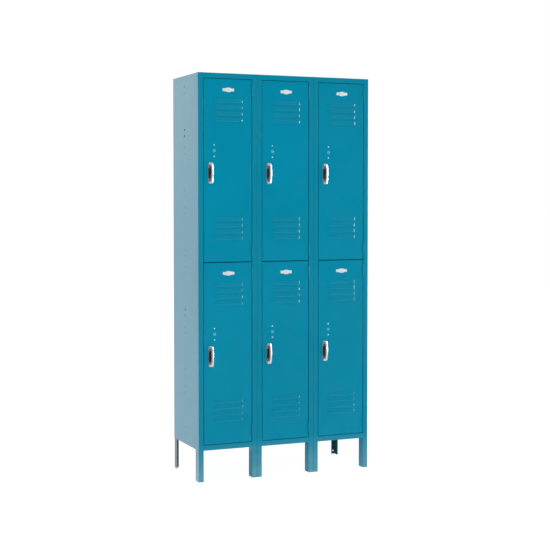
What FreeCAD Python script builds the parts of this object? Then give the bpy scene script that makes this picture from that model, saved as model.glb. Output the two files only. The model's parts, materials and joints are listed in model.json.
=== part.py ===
"""Three-wide, two-tier steel locker cabinet on legs.

Frame: origin on the floor, at the centre of the overall box. X runs to the right, Y to the back, Z up.
Lengths are millimetres. Every sub-part is written to parts/NODE.step.
"""

import FreeCAD
import Part
import math
import os

Vec = FreeCAD.Vector

# ---------------------------------------------------------------- driving dimensions
UNIT_WIDTH = 304.8          # one locker, 12 in
UNITS = 3
DEPTH = 381.0               # 15 in
HEIGHT = 1981.2             # 78 in, legs included
LEG_HEIGHT = 152.4          # 6 in
TIERS = 2

FRAME_SHEET = 1.5           # 16 gauge frame and doors
BODY_SHEET = 0.8            # 22 gauge body sheets
BEND = 1.2                  # outside radius of the frame and door bends

UPRIGHT_FACE = 25.4
UPRIGHT_DEPTH = 47.0
RAIL_FACE = 25.4
STRIKE_LIP = 9.0            # how far a door stop stands into the opening
STRIKE_SETBACK = 24.5       # frame front to a door stop's front
MID_RAIL_HEIGHT = 30.0
MID_RAIL_SETBACK = 22.0

DOOR_DEPTH = 20.0
DOOR_LATCH_GAP = 2.4
DOOR_HINGE_GAP = 3.2
DOOR_END_GAP = 2.4
DOOR_PAIR_GAP = 4.0         # between an upper and a lower door
DOOR_LIP = 12.0

HINGE_HEIGHT = 58.0
HINGE_END_DISTANCE = 27.0   # door end to the hinge's near end
KNUCKLES = 5
KNUCKLE_RADIUS = 3.0
KNUCKLE_GAP = 0.3
PIN_RADIUS = 1.6
PIN_CLEARANCE = 0.05
LEAF_SHEET = 1.3
LEAF_DEPTH = 16.0
AXIS_AHEAD = 3.4            # hinge axis ahead of the front plane
LEAF_STAND = 0.1            # leaf's front edge behind the front plane
PIN_HEAD = 1.2

LOUVRE_LENGTH = 156.0
LOUVRE_HEIGHT = 15.0
LOUVRE_DEPTH = 4.5
LOUVRE_RAMP = 11.0          # length of each sloped end
LOUVRE_SKIN = 1.2           # sheet left in the hood
LOUVRE_MOUTH = 5.5          # height of the way in under the hood
LOUVRE_PITCH = 30.5
LOUVRES = 4
LOUVRE_TOP = 108.0          # door top to the first louvre's centre
LOUVRE_BOTTOM = 114.0       # door bottom to the last louvre's centre

HANDLE_HEIGHT = 104.0
HANDLE_WIDTH = 26.0
HANDLE_REACH = 19.0         # bezel's farthest point ahead of the front plane
HANDLE_END_REACH = 9.0
HANDLE_INSET = 35.0         # door's latch edge to the bezel's centre line
HANDLE_DROP = 12.0          # door's mid height to the bezel's centre
HANDLE_CORNER = 7.0
HANDLE_ROUND = 2.4          # of the bezel's front edges
RECESS_HEIGHT = 76.0
STRAP_LEFT = -3.0           # strap's free edge, from the bezel's centre line
BEZEL_BASE = 1.5
BEZEL_WALL = 2.5
POCKET_FALL = 7.0           # how much less the recess reaches at its ends
LIFT_TRAVEL = 12.0
LIFT_HALF = 23.0
LIFT_REACH = 13.5
LIFT_SHEET = 3.0
LIFT_GAP = 1.5              # lift to the recess's walls
LIFT_STAND = 0.7            # lift ahead of the bezel's base
LIFT_SHELF = 4.0
LIFT_BROW = 13.0            # height of the curled foot
EYE_RADIUS = 3.4            # padlock eye in the lift
EYE_REACH = 8.8
EYE_WALL = 0.8              # ahead of the eye
EYE_CROWN = 2.0             # above the eye
EYE_RISE = 14.0

BAR_INSET = 60.0            # locker's left side to the lock bar's centre line
BAR_WIDTH = 16.0
BAR_FRONT = 6.0             # behind the front plane
BAR_SHEET = 2.5
BAR_OVERRUN = 40.0          # past the keepers
GUIDE_HALF = 9.0
GUIDE_CLEARANCE = 0.6
GUIDE_PLACES = (-250.0, 100.0, 250.0)      # above the handle's centre
GUIDE_TAB = 4.0
STEM_WIDTH = 4.0
STEM_HEIGHT = 30.0
SLOT_CLEARANCE = 1.5
FINGER_CLEARANCE = 0.8      # bar's fingers above the keepers
FINGER_WIDTH = 5.0
FINGER_HEIGHT = 9.0
FINGER_DEPTH = 10.0

LOCK_INSET = 54.0           # door's latch edge to the lock cover
LOCK_RISE = 108.0           # bezel's centre to the lock cover
LOCK_RIVET_SPACING = 55.0
LOCK_RIVET_RADIUS = 3.3
LOCK_HOLE_RADIUS = 6.5
LOCK_COVER_RADIUS = 8.0
PLATE_DROP = 52.0           # door top to the number plate's centre
PLATE_SHIFT = 3.5           # door's middle to the plate's centre, to the right
PLATE_LENGTH = 60.0
PLATE_HEIGHT = 14.0
PLATE_OVAL = (40.0, 22.0)
PLATE_SHEET = 0.9
PLATE_RIVET_SPACING = 49.0

KEEPER_REACH = 17.0
KEEPER_HEIGHT = 22.0
KEEPER_SHEET = 2.0
KEEPER_X = 42.0             # from the locker's left side
KEEPER_SPREAD = 300.0       # above and below the handle's centre
KEEPER_NOTCH = 6.0

REAR_FLANGE = 18.0
BACK_FLANGE = 12.0
TRAY_FLANGE = 16.0
TOP_FLANGE = 20.0
WALL_HOLE_RADIUS = 4.0
WALL_HOLE_DROP = 80.0       # cabinet top to the wall fixing holes
SEAM_END = 75.0             # sheet's end to the seam's nearest rivet

REAR_LEG_DEPTH = 38.0       # side plate of a rear leg's unequal angle
REAR_LEG_WIDTH = 21.0       # its back plate
REAR_LEG_NOTCH = 4.0        # bottom sheet's flanges to a rear leg
REAR_LEG_LAP = 24.0         # how far a rear leg reaches up inside the body
LEG_HOLE_RADIUS = 3.5
LEG_HOLE_RISE = 17.0
LEG_HOLE_INSET = 11.0       # from the leg's corner
FOOT_HOLE_RADIUS = 4.5
FOOT_HOLE_SETBACK = 25.5

BOLT_HEAD = 1.8
BOLT_RADIUS = 2.35
NUT_RADIUS = 4.4            # to its corners
NUT_HEIGHT = 2.8
BOLT_HEAD_RADIUS = 4.6
BOLT_CLEARANCE = 0.1
BOLT_OVERRUN = 4.0          # past the nut's seat
HOOK_SHEET = 2.0
HOOK_PLATE = 7.0            # half its width, and how far it passes its bolts
HOOK_ROD = 3.0
HOOK_BALL = 4.5
WALL_HOOK_ARM = (24.0, -5.0)    # elbow's distance from the sheet, and its rise
WALL_HOOK_TIP = (30.0, 16.0)
CEILING_PLATE = 18.0
CEILING_STALK = 34.0
CEILING_ELBOW = (20.0, -40.0)
CEILING_TIP = (27.0, -20.0)
RIVET_RADIUS = 2.0
RIVET_HEAD = 1.0
RIVET_TAIL = 0.7
RIVET_TAIL_SHARE = 0.85     # tail's radius to the head's
SEAM_RIVET_RADIUS = 3.4
PLUG_HEAD = 1.5             # how far the lock hole's cover and its rivets stand out
RIVET_CLEARANCE = 0.05
SEAM_RIVETS = 6             # along each rear seam
LEG_RIVET_DROP = 30.0       # below the foot rail
HOLE_RADIUS = 3.0
HOOK_HOLE_SPACING = 31.0
HOLE_SETBACK = 205.0        # frame front to the column of holes
HOLE_PAIRS = (41.0, 250.0, 336.0, 546.0, 633.0, 845.0)   # above each compartment's foot
HOOK_PAIR = 633.0
BUMPER_RADIUS = 3.4
BUMPER_HEIGHT = 3.9
BUMPER_INSET = 5.5          # from the upright
BUMPER_SPREAD = 340.0       # above and below the handle's centre
OVERCUT = 1.0               # how far a cutting tool passes a face
TOUCH = 0.01                # places closer than this are one place

# ---------------------------------------------------------------- derived places
WIDTH = UNIT_WIDTH * UNITS
FRONT = (HANDLE_REACH - DEPTH - RIVET_HEAD) / 2
REAR = FRONT + DEPTH
OPENING_FOOT = LEG_HEIGHT + RAIL_FACE
OPENING_HEAD = HEIGHT - RAIL_FACE
MID_HEIGHT = (OPENING_FOOT + OPENING_HEAD) / 2
TIER_PITCH = (OPENING_HEAD - OPENING_FOOT) / TIERS
DOOR_LEFT = UPRIGHT_FACE + DOOR_LATCH_GAP
DOOR_RIGHT = UNIT_WIDTH - UPRIGHT_FACE - DOOR_HINGE_GAP
DOOR_WIDTH = DOOR_RIGHT - DOOR_LEFT
DOOR_HEIGHT = TIER_PITCH - DOOR_END_GAP - DOOR_PAIR_GAP / 2
HINGE_X = DOOR_RIGHT + DOOR_HINGE_GAP / 2
HINGE_Y = FRONT - AXIS_AHEAD
BACK_FACE = REAR - 2 * BODY_SHEET           # front face of the back panels
BAR_X = BAR_INSET - DOOR_LEFT               # lock bar's centre line from the door's latch edge
COLUMN_NAMES = ("left", "middle", "right")
TIER_NAMES = ("lower", "upper")


def unit_left(column):
    """X of a locker's left side."""
    return -WIDTH / 2 + UNIT_WIDTH * column


def door_foot(tier):
    """Z of a door's lower edge."""
    return OPENING_FOOT + DOOR_END_GAP if tier == 0 else MID_HEIGHT + DOOR_PAIR_GAP / 2


def handle_height(tier):
    """Z of a handle's centre."""
    return door_foot(tier) + DOOR_HEIGHT / 2 - HANDLE_DROP


# ---------------------------------------------------------------- small makers
def block(x0, x1, y0, y1, z0, z1):
    """Box between two corners, in any order."""
    low = Vec(min(x0, x1), min(y0, y1), min(z0, z1))
    return Part.makeBox(abs(x1 - x0), abs(y1 - y0), abs(z1 - z0), low)


def rod(radius, start, end):
    """Round bar from one point to another."""
    run = Vec(*end) - Vec(*start)
    return Part.makeCylinder(radius, run.Length, Vec(*start), run)


def fused(shapes):
    """One solid from touching shapes."""
    whole = shapes[0].multiFuse(shapes[1:]) if len(shapes) > 1 else shapes[0]
    return whole.removeSplitter()


def moved(shape, x=0.0, y=0.0, z=0.0):
    """Copy of a shape at an offset."""
    copy = shape.copy()
    copy.translate(Vec(x, y, z))
    return copy


def upright_edges(shape, x_places, y_place):
    """Edges that run along Z at the given X places and Y place."""
    found = []
    for edge in shape.Edges:
        box = edge.BoundBox
        if box.ZLength < 1 or box.XLength > TOUCH or box.YLength > TOUCH:
            continue
        if abs(box.YMin - y_place) < TOUCH and any(abs(box.XMin - x) < TOUCH for x in x_places):
            found.append(edge)
    return found


def level_edges(shape, z_places, y_place):
    """Edges that run along X at the given Z places and Y place."""
    found = []
    for edge in shape.Edges:
        box = edge.BoundBox
        if box.XLength < 1 or box.ZLength > TOUCH or box.YLength > TOUCH:
            continue
        if abs(box.YMin - y_place) < TOUCH and any(abs(box.ZMin - z) < TOUCH for z in z_places):
            found.append(edge)
    return found


def rounded_plate(width, height, corner, y_back, y_front):
    """Plate in the XZ plane, centred on the axis, with rounded corners."""
    plate = block(-width / 2, width / 2, y_back, y_front, -height / 2, height / 2)
    corners = [e for e in plate.Edges if e.BoundBox.YLength > TOUCH and e.BoundBox.ZLength < TOUCH
               and e.BoundBox.XLength < TOUCH]
    return plate.makeFillet(corner, corners)


def through_rivet(place, outward, grip, head_radius):
    """Rivet through a sheet: a domed head on the outer face, a shank, and a flat tail behind."""
    axis = Vec(*outward)
    seat = Vec(*place)
    lift = RIVET_HEAD
    ball_radius = (head_radius ** 2 + lift ** 2) / (2 * lift)
    ball = Part.makeSphere(ball_radius, seat + axis * (lift - ball_radius))
    head = ball.common(Part.makeCylinder(2 * head_radius, 2 * lift, seat, axis))
    shank = Part.makeCylinder(RIVET_RADIUS, grip + lift / 2, seat - axis * grip, axis)
    back = seat - axis * (grip + RIVET_TAIL)
    tail = Part.makeCylinder(head_radius * RIVET_TAIL_SHARE, RIVET_TAIL, back, axis)
    return fused([head, shank, tail])


def write(name, solids):
    """Exports one node."""
    shape = solids[0] if len(solids) == 1 else Part.makeCompound(solids)
    shape.exportStep("parts/%s.step" % name)
    valid = all(s.isValid() and len(s.Solids) == 1 for s in solids)
    print("%-34s solids %3d  valid %s  cm3 %.1f" % (name, len(solids), valid, shape.Volume / 1000))


# ---------------------------------------------------------------- front frames
def upright(x_outer, x_inner):
    """U channel that is both the frame's side and its front leg, open to the back and closed on top."""
    x0, x1 = sorted((x_outer, x_inner))
    body = block(x0, x1, FRONT, FRONT + UPRIGHT_DEPTH, 0, HEIGHT)
    body = body.makeFillet(BEND, upright_edges(body, (x0, x1), FRONT))
    hollow = block(x0 + FRAME_SHEET, x1 - FRAME_SHEET, FRONT + FRAME_SHEET,
                   FRONT + UPRIGHT_DEPTH + OVERCUT, -OVERCUT, HEIGHT - FRAME_SHEET)
    x_flange, way = (x_inner, 1) if x_inner == x0 else (x_inner, -1)
    z_rivet = LEG_HEIGHT - LEG_RIVET_DROP
    y_rivet = FRONT + UPRIGHT_DEPTH / 2
    hole = rod(RIVET_RADIUS + RIVET_CLEARANCE, (x_flange - way * 2 * FRAME_SHEET, y_rivet, z_rivet),
               (x_flange + way * 2 * FRAME_SHEET, y_rivet, z_rivet))
    return body.cut(hollow).cut(hole)


def end_rail(x0, x1, z_outer, inward):
    """Head or foot rail and its door stop; inward is +1 when the opening is above it."""
    z_inner = z_outer + inward * RAIL_FACE
    face = block(x0, x1, FRONT, FRONT + UPRIGHT_DEPTH, z_outer, z_inner)
    face = face.makeFillet(BEND, level_edges(face, (z_outer, z_inner), FRONT))
    hollow = block(x0 - OVERCUT, x1 + OVERCUT, FRONT + FRAME_SHEET, FRONT + UPRIGHT_DEPTH + OVERCUT,
                   z_outer + inward * FRAME_SHEET, z_inner - inward * FRAME_SHEET)
    lip_y = FRONT + STRIKE_SETBACK
    lip = block(x0, x1, lip_y, lip_y + FRAME_SHEET, z_inner, z_inner + inward * STRIKE_LIP)
    return [face.cut(hollow), lip]


def mid_rail(x0, x1):
    """Channel behind the gap between an upper and a lower door."""
    y0 = FRONT + MID_RAIL_SETBACK
    y1 = FRONT + UPRIGHT_DEPTH
    half = MID_RAIL_HEIGHT / 2
    body = block(x0, x1, y0, y1, MID_HEIGHT - half, MID_HEIGHT + half)
    hollow = block(x0 - OVERCUT, x1 + OVERCUT, y0 + FRAME_SHEET, y1 + OVERCUT,
                   MID_HEIGHT - half + FRAME_SHEET, MID_HEIGHT + half - FRAME_SHEET)
    return body.cut(hollow)


def strike(x_inner, side, z0, z1):
    """Vertical door stop: a strip along an upright's inner flange."""
    y0 = FRONT + STRIKE_SETBACK
    return block(x_inner, x_inner + side * STRIKE_LIP, y0, y0 + FRAME_SHEET, z0, z1)


def keeper(left, z):
    """Latch keeper: a foot on the back of the door stop, and a hook forward into the door's hollow."""
    y_foot = FRONT + STRIKE_SETBACK + FRAME_SHEET
    y_tip = y_foot - KEEPER_REACH
    x_hook = left + KEEPER_X
    half = KEEPER_HEIGHT / 2
    foot = block(left + UPRIGHT_FACE, x_hook, y_foot, y_foot + KEEPER_SHEET, z - half, z + half)
    hook = block(x_hook, x_hook + KEEPER_SHEET, y_foot + KEEPER_SHEET, y_tip, z - half, z + half)
    y_notch = y_tip + KEEPER_NOTCH
    notch = block(x_hook - OVERCUT, x_hook + KEEPER_SHEET + OVERCUT, y_notch, y_notch + KEEPER_NOTCH,
                  z + half - KEEPER_NOTCH, z + half + OVERCUT)
    return [foot, hook.cut(notch)]


def foot_plate(x0, x1, x_hole):
    """Flat plate in an upright's lower end, with a floor anchor hole; it carries the load."""
    plate = block(x0, x1, FRONT + FRAME_SHEET, FRONT + UPRIGHT_DEPTH, 0, 2 * FRAME_SHEET)
    y_hole = FRONT + FOOT_HOLE_SETBACK
    return plate.cut(rod(FOOT_HOLE_RADIUS, (x_hole, y_hole, -OVERCUT),
                         (x_hole, y_hole, 2 * FRAME_SHEET + OVERCUT)))


def front_frame(column):
    """Welded frame of one locker: uprights, rails, foot plates, door stops and latch keepers."""
    left = unit_left(column)
    right = left + UNIT_WIDTH
    seam_left = BODY_SHEET / 2 if column > 0 else 0.0
    seam_right = BODY_SHEET / 2 if column < UNITS - 1 else 0.0
    x0 = left + UPRIGHT_FACE
    x1 = right - UPRIGHT_FACE
    solids = [upright(left + seam_left, x0), upright(right - seam_right, x1), mid_rail(x0, x1)]
    solids += end_rail(x0, x1, LEG_HEIGHT, 1) + end_rail(x0, x1, HEIGHT, -1)
    t = FRAME_SHEET
    solids.append(foot_plate(left + seam_left + t, x0 - t, left + UPRIGHT_FACE / 2))
    solids.append(foot_plate(x1 + t, right - seam_right - t, right - UPRIGHT_FACE / 2))
    half_mid = MID_RAIL_HEIGHT / 2
    for z0, z1 in ((OPENING_FOOT + STRIKE_LIP, MID_HEIGHT - half_mid),
                   (MID_HEIGHT + half_mid, OPENING_HEAD - STRIKE_LIP)):
        solids += [strike(x0, 1, z0, z1), strike(x1, -1, z0, z1)]
    for tier in range(TIERS):
        for way in (-1, 1):
            solids += keeper(left, handle_height(tier) + way * KEEPER_SPREAD)
    return solids


# ---------------------------------------------------------------- body sheets
def hook_hole_heights():
    """Z of every hole in the side sheets' column."""
    heights = []
    for tier in range(TIERS):
        foot = OPENING_FOOT + tier * TIER_PITCH
        for pair in HOLE_PAIRS:
            heights += [foot + pair - HOOK_HOLE_SPACING / 2, foot + pair + HOOK_HOLE_SPACING / 2]
    return heights


def drilled(sheet, x0, x1):
    """Sheet with its column of hook holes."""
    y = FRONT + HOLE_SETBACK
    tools = [rod(HOLE_RADIUS, (x0 - OVERCUT, y, z), (x1 + OVERCUT, y, z)) for z in hook_hole_heights()]
    return sheet.cut(Part.makeCompound(tools))


def seam_rivet_places():
    """X and Z of the rivets through the rear flanges."""
    inset = REAR_FLANGE / 2
    edge = WIDTH / 2 - FRAME_SHEET - inset
    seams = [-edge, edge] + [-WIDTH / 2 + UNIT_WIDTH * i + inset for i in range(1, UNITS)]
    span = (HEIGHT - LEG_HEIGHT - 2 * SEAM_END) / (SEAM_RIVETS - 1)
    return [(x, LEG_HEIGHT + SEAM_END + span * i) for x in seams for i in range(SEAM_RIVETS)]


def riveted(sheet):
    """Sheet with the rear seams' rivet holes."""
    grip = 2 * BODY_SHEET
    tools = [rod(RIVET_RADIUS + RIVET_CLEARANCE, (x, REAR - grip - OVERCUT, z), (x, REAR + OVERCUT, z))
             for x, z in seam_rivet_places()]
    return sheet.cut(Part.makeCompound(tools))


def side_panel(side):
    """Outer side sheet, inside the uprights' outer flange, with a flange behind the back panel."""
    x_out = side * (WIDTH / 2 - FRAME_SHEET)
    x_in = x_out - side * BODY_SHEET
    web = block(x_out, x_in, FRONT + FRAME_SHEET, REAR, LEG_HEIGHT, HEIGHT)
    flange = block(x_in, x_out - side * REAR_FLANGE, REAR - BODY_SHEET, REAR, LEG_HEIGHT, HEIGHT)
    cap = block(x_out, x_in, FRONT, FRONT + UPRIGHT_DEPTH, HEIGHT - FRAME_SHEET, HEIGHT + OVERCUT)
    return riveted(drilled(fused([web.cut(cap), flange]), *sorted((x_out, x_in))))


def partition(index):
    """Sheet shared by two lockers, between their uprights, with one rear flange to the right."""
    x = -WIDTH / 2 + UNIT_WIDTH * index
    half = BODY_SHEET / 2
    z1 = HEIGHT - BODY_SHEET
    web = block(x - half, x + half, FRONT + 2 * FRAME_SHEET, REAR, LEG_HEIGHT, z1)
    flange = block(x + half, x + REAR_FLANGE, REAR - BODY_SHEET, REAR, LEG_HEIGHT, z1)
    return riveted(drilled(fused([web, flange]), x - half, x + half))


def clear_span(column):
    """X of the faces between which a locker's inner sheets fit."""
    left = unit_left(column)
    right = left + UNIT_WIDTH
    outer = FRAME_SHEET + BODY_SHEET
    x0 = left + (outer if column == 0 else BODY_SHEET / 2)
    x1 = right - (outer if column == UNITS - 1 else BODY_SHEET / 2)
    return x0, x1


def back_panel(column):
    """Back sheet of one locker, with both side edges turned forward."""
    x0, x1 = clear_span(column)
    y0 = BACK_FACE
    z0 = LEG_HEIGHT
    z1 = HEIGHT - BODY_SHEET
    web = block(x0, x1, y0, y0 + BODY_SHEET, z0, z1)
    left = block(x0, x0 + BODY_SHEET, y0 - BACK_FLANGE, y0, z0, z1)
    right = block(x1 - BODY_SHEET, x1, y0 - BACK_FLANGE, y0, z0, z1)
    sheet = fused([web, left, right])
    middle = unit_left(column) + UNIT_WIDTH / 2
    z_hole = HEIGHT - WALL_HOLE_DROP
    hole = rod(WALL_HOLE_RADIUS, (middle, y0 - OVERCUT, z_hole), (middle, REAR + OVERCUT, z_hole))
    return riveted(sheet.cut(hole))


def tray(column, z, drop):
    """Shelf or bottom sheet of one locker: a flat top with four flanges turned down."""
    x0, x1 = clear_span(column)
    x0 += BODY_SHEET
    x1 -= BODY_SHEET
    y0 = FRONT + UPRIGHT_DEPTH
    outer = block(x0, x1, y0, BACK_FACE, z - drop, z)
    inner = block(x0 + BODY_SHEET, x1 - BODY_SHEET, y0 + BODY_SHEET, BACK_FACE - BODY_SHEET,
                  z - drop - OVERCUT, z - BODY_SHEET)
    return outer.cut(inner)


def bottom_panel(column):
    """Bottom sheet, its flanges cut away round a rear leg."""
    sheet = tray(column, OPENING_FOOT, RAIL_FACE)
    for side in (-1, 1):
        if column == (0 if side < 0 else UNITS - 1):
            x = side * WIDTH / 2
            reach = REAR_LEG_WIDTH + REAR_LEG_NOTCH
            sheet = sheet.cut(block(x, x - side * reach, BACK_FACE - REAR_LEG_DEPTH - OVERCUT, REAR,
                                    0, OPENING_FOOT - BODY_SHEET))
    return sheet


def top_panel():
    """One cover across all three lockers, its front edge turned down behind the head rails."""
    x0 = -WIDTH / 2 + FRAME_SHEET + BODY_SHEET
    z = HEIGHT - BODY_SHEET
    y0 = FRONT + UPRIGHT_DEPTH
    lip = block(x0, -x0, y0, y0 + BODY_SHEET, z - TOP_FLANGE, z)
    for index in range(1, UNITS):
        x = -WIDTH / 2 + UNIT_WIDTH * index
        lip = lip.cut(block(x - BODY_SHEET, x + BODY_SHEET, FRONT, REAR, z - TOP_FLANGE - OVERCUT, z))
    return fused([block(x0, -x0, y0, REAR - BODY_SHEET, z, HEIGHT), lip])


# ---------------------------------------------------------------- rear legs and rivets
def rear_leg(side):
    """Unequal angle leg in a rear corner, with a fixing hole near the foot of its back plate."""
    x_leg = side * (WIDTH / 2 - FRAME_SHEET - 2 * BODY_SHEET)
    z1 = LEG_HEIGHT + REAR_LEG_LAP
    side_plate = block(x_leg, x_leg - side * FRAME_SHEET, BACK_FACE - REAR_LEG_DEPTH, BACK_FACE, 0, z1)
    back_plate = block(x_leg, x_leg - side * REAR_LEG_WIDTH, BACK_FACE - FRAME_SHEET, BACK_FACE, 0, z1)
    x_hole = x_leg - side * LEG_HOLE_INSET
    hole = rod(LEG_HOLE_RADIUS, (x_hole, BACK_FACE - FRAME_SHEET - OVERCUT, LEG_HOLE_RISE),
               (x_hole, BACK_FACE + OVERCUT, LEG_HOLE_RISE))
    return fused([side_plate, back_plate]).cut(hole)


def leg_rivets():
    """One rivet in each front leg's inner flange, under the foot rail."""
    solids = []
    y = FRONT + UPRIGHT_DEPTH / 2
    z = LEG_HEIGHT - LEG_RIVET_DROP
    for column in range(UNITS):
        left = unit_left(column)
        for x, way in ((left + UPRIGHT_FACE, 1), (left + UNIT_WIDTH - UPRIGHT_FACE, -1)):
            solids.append(through_rivet((x, y, z), (way, 0, 0), FRAME_SHEET, 2 * RIVET_RADIUS))
    return solids


def seam_rivets():
    """Rivets of the rear seams, heads to the back."""
    return [through_rivet((x, REAR, z), (0, 1, 0), 2 * BODY_SHEET, SEAM_RIVET_RADIUS)
            for x, z in seam_rivet_places()]


# ---------------------------------------------------------------- doors
def louvre_hood(extra):
    """Louvre's outer form, grown inward by a negative extra: slopes out from its head to an open foot."""
    half = LOUVRE_LENGTH / 2 + extra
    top = LOUVRE_HEIGHT / 2 + extra
    foot = -LOUVRE_HEIGHT / 2
    reach = LOUVRE_DEPTH + extra
    inner = half - LOUVRE_RAMP
    head = [Vec(-inner, 0, top), Vec(inner, 0, top)]
    base = [Vec(half, 0, foot), Vec(-half, 0, foot)]
    brow = [Vec(-inner, -reach, foot), Vec(inner, -reach, foot)]
    faces = [[head[0], head[1], base[0], base[1]], [head[0], head[1], brow[1], brow[0]],
             [head[1], base[0], brow[1]], [head[0], base[1], brow[0]], [base[0], base[1], brow[0], brow[1]]]
    shell = Part.makeShell([Part.Face(Part.makePolygon(f + [f[0]])) for f in faces])
    solid = Part.makeSolid(shell)
    if solid.Volume < 0:
        solid.reverse()
    return solid


def louvre_heights():
    """Heights of the louvres' centres above a door's foot."""
    low = [LOUVRE_BOTTOM + LOUVRE_PITCH * i for i in range(LOUVRES)]
    high = [DOOR_HEIGHT - LOUVRE_TOP - LOUVRE_PITCH * i for i in range(LOUVRES)]
    return low + high


def stem_slot(y0, y1):
    """Way for the lift's stem about the handle's centre, with its travel upwards."""
    half_width = STEM_WIDTH / 2 + SLOT_CLEARANCE
    half = STEM_HEIGHT / 2 + SLOT_CLEARANCE
    return block(-half_width, half_width, y0, y1, -half, half + LIFT_TRAVEL)


def door_pan():
    """Door skin with flanges, return lips, louvres, a lift slot and a lock hole. Its foot is at Z 0."""
    w, h, t = DOOR_WIDTH, DOOR_HEIGHT, FRAME_SHEET
    body = block(0, w, 0, DOOR_DEPTH, 0, h)
    rounded = [e for e in body.Edges if abs(e.BoundBox.YMin) < TOUCH and e.BoundBox.YLength < TOUCH]
    body = body.makeFillet(BEND, rounded)
    hollow = block(t, w - t, t, DOOR_DEPTH - t, t, h - t)
    window = block(DOOR_LIP, w - DOOR_LIP, t, DOOR_DEPTH + OVERCUT, t + OVERCUT, h - t - OVERCUT)
    pan = body.cut(fused([hollow, window]))
    hood = louvre_hood(0.0)
    inside = moved(louvre_hood(-LOUVRE_SKIN), y=t / 2)
    foot = -LOUVRE_HEIGHT / 2
    half_mouth = LOUVRE_LENGTH / 2 - LOUVRE_RAMP
    mouth = block(-half_mouth, half_mouth, LOUVRE_SKIN - LOUVRE_DEPTH, t + OVERCUT, foot,
                  foot + LOUVRE_MOUTH)
    places = louvre_heights()
    pan = pan.multiFuse([moved(hood, w / 2, 0, z) for z in places])
    for tool in (inside, mouth):
        pan = pan.cut(Part.makeCompound([moved(tool, w / 2, 0, z) for z in places]))
    handle_z = h / 2 - HANDLE_DROP
    lock_z = handle_z + LOCK_RISE
    slot = moved(stem_slot(-OVERCUT, t + OVERCUT), HANDLE_INSET, 0, handle_z)
    hole = rod(LOCK_HOLE_RADIUS, (LOCK_INSET, -OVERCUT, lock_z), (LOCK_INSET, t + OVERCUT, lock_z))
    return pan.cut(slot).cut(hole).removeSplitter()


def bar_guide(z):
    """Saddle welded inside the door that holds the lock bar."""
    t = FRAME_SHEET
    x0 = BAR_X - BAR_WIDTH / 2 - GUIDE_CLEARANCE
    x1 = BAR_X + BAR_WIDTH / 2 + GUIDE_CLEARANCE
    y_back = BAR_FRONT + BAR_SHEET + GUIDE_CLEARANCE
    low = z - GUIDE_HALF
    high = z + GUIDE_HALF
    bridge = block(x0 - t, x1 + t, y_back, y_back + t, low, high)
    walls = [block(x0 - t, x0, t, y_back, low, high), block(x1, x1 + t, t, y_back, low, high)]
    tabs = [block(x0 - t - GUIDE_TAB, x0 - t, t, 2 * t, low, high),
            block(x1 + t, x1 + t + GUIDE_TAB, t, 2 * t, low, high)]
    return fused([bridge] + walls + tabs)


def door_solids():
    """Pan and three bar guides, at the door's own corner."""
    handle_z = DOOR_HEIGHT / 2 - HANDLE_DROP
    return [door_pan()] + [bar_guide(handle_z + rise) for rise in GUIDE_PLACES]


# ---------------------------------------------------------------- hinges
def knuckle_spans():
    """Z spans of the knuckles, from the hinge's foot."""
    pitch = HINGE_HEIGHT / KNUCKLES
    return [(i * pitch + KNUCKLE_GAP / 2, (i + 1) * pitch - KNUCKLE_GAP / 2) for i in range(KNUCKLES)]


def hinge_leaf(side, own):
    """Hinge leaf about the axis: side -1 is the door's, +1 the frame's; own are its knuckle numbers."""
    x_face = side * DOOR_HINGE_GAP / 2
    x_inner = x_face - side * LEAF_SHEET
    y0 = AXIS_AHEAD + LEAF_STAND
    pieces = [block(x_face, x_inner, y0, y0 + LEAF_DEPTH, 0, HINGE_HEIGHT)]
    spans = knuckle_spans()
    for i in own:
        z0, z1 = spans[i]
        pieces.append(rod(KNUCKLE_RADIUS, (0, 0, z0), (0, 0, z1)))
        pieces.append(block(x_face, x_inner, 0, y0, z0, z1))
    bore = rod(PIN_RADIUS + PIN_CLEARANCE, (0, 0, -OVERCUT), (0, 0, HINGE_HEIGHT + OVERCUT))
    return fused(pieces).cut(bore)


def hinge_pin():
    """Pin with a thin head on top."""
    shank = rod(PIN_RADIUS, (0, 0, 0), (0, 0, HINGE_HEIGHT))
    head = rod(KNUCKLE_RADIUS, (0, 0, HINGE_HEIGHT), (0, 0, HINGE_HEIGHT + PIN_HEAD))
    return fused([shank, head])


def hinge_feet():
    """Heights of a door's two hinges above the door's foot."""
    return (HINGE_END_DISTANCE, DOOR_HEIGHT - HINGE_END_DISTANCE - HINGE_HEIGHT)


# ---------------------------------------------------------------- handle, lift and lock bar
def bow(x0, x1, half, end_reach, mid_reach, y_back):
    """Block whose front is an arc that stands out farthest at mid height."""
    arc = Part.Arc(Vec(x0, -end_reach, -half), Vec(x0, -mid_reach, 0), Vec(x0, -end_reach, half))
    outline = Part.Wire([arc.toShape(), Part.makeLine(Vec(x0, -end_reach, half), Vec(x0, y_back, half)),
                         Part.makeLine(Vec(x0, y_back, half), Vec(x0, y_back, -half)),
                         Part.makeLine(Vec(x0, y_back, -half), Vec(x0, -end_reach, -half))])
    return Part.Face(outline).extrude(Vec(x1 - x0, 0, 0))


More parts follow.
